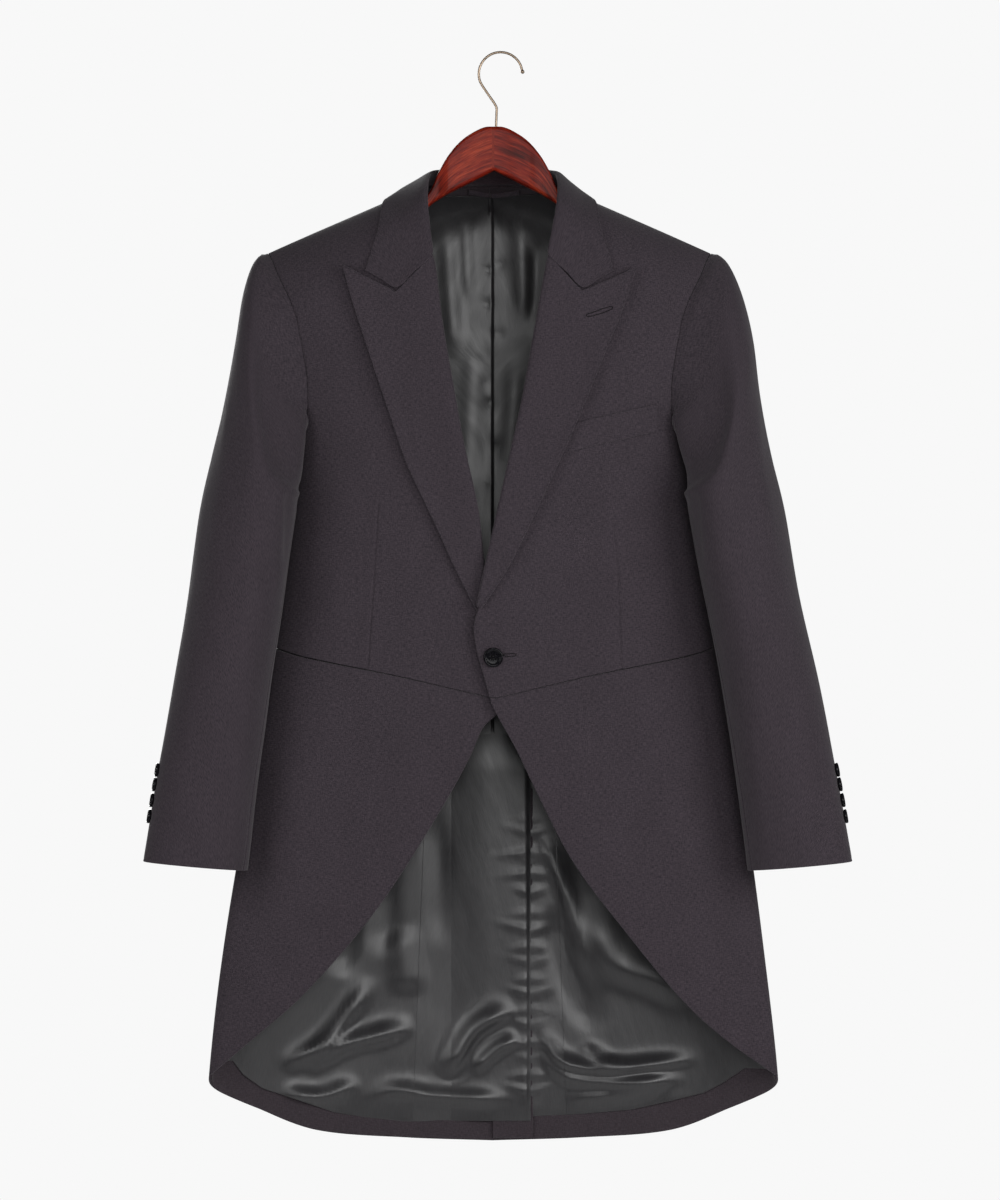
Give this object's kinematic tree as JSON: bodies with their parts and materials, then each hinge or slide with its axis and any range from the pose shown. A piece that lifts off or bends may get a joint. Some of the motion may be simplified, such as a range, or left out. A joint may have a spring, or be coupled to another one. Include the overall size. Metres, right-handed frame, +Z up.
{
  "type": "morning coat on a wooden hanger",
  "caption": "Cutaway morning coat with peak lapels, a single front button and long tails, hanging on a contoured wooden hanger with a wire hook.",
  "frame": {"origin": "inside crown of the hook's bend, where it rides on a rail", "axes": "+Z up, -Y out of the coat's front, +X towards the wearer's left side"},
  "size_m": [0.739, 0.1708, 1.1475],
  "materials": {
    "wool": "charcoal plain-weave worsted wool, matt with a slight melange",
    "lining": "dark grey satin lining, smooth and glossy along its folds",
    "button": "polished black",
    "hanger_wood": "red-brown mahogany under clear gloss lacquer",
    "hook_wire": "bright warm nickel-plated wire"
  },
  "bodies": {
    "root": {"forepart_left": "wool", "side_body_left": "wool", "back_left": "wool", "skirt_left": "wool", "lapel_left": "wool", "sleeve_top_left": "wool", "sleeve_under_left": "wool", "hem_facing_left": "wool", "back_lining_left": "lining", "skirt_lining_left": "lining", "cuff_button_left_1": "button", "cuff_button_left_2": "button", "cuff_button_left_3": "button", "cuff_button_left_4": "button", "forepart_right": "wool", "side_body_right": "wool", "back_right": "wool", "skirt_right": "wool", "lapel_right": "wool", "sleeve_top_right": "wool", "sleeve_under_right": "wool", "hem_facing_right": "wool", "back_lining_right": "lining", "skirt_lining_right": "lining", "cuff_button_right_1": "button", "cuff_button_right_2": "button", "cuff_button_right_3": "button", "cuff_button_right_4": "button", "collar": "wool", "neck_facing": "wool", "hanging_loop": "wool", "vent_underlap": "wool", "breast_welt": "wool", "front_button": "button", "hanger_body": "hanger_wood", "hanger_hook": "hook_wire"}
  },
  "joints": []
}
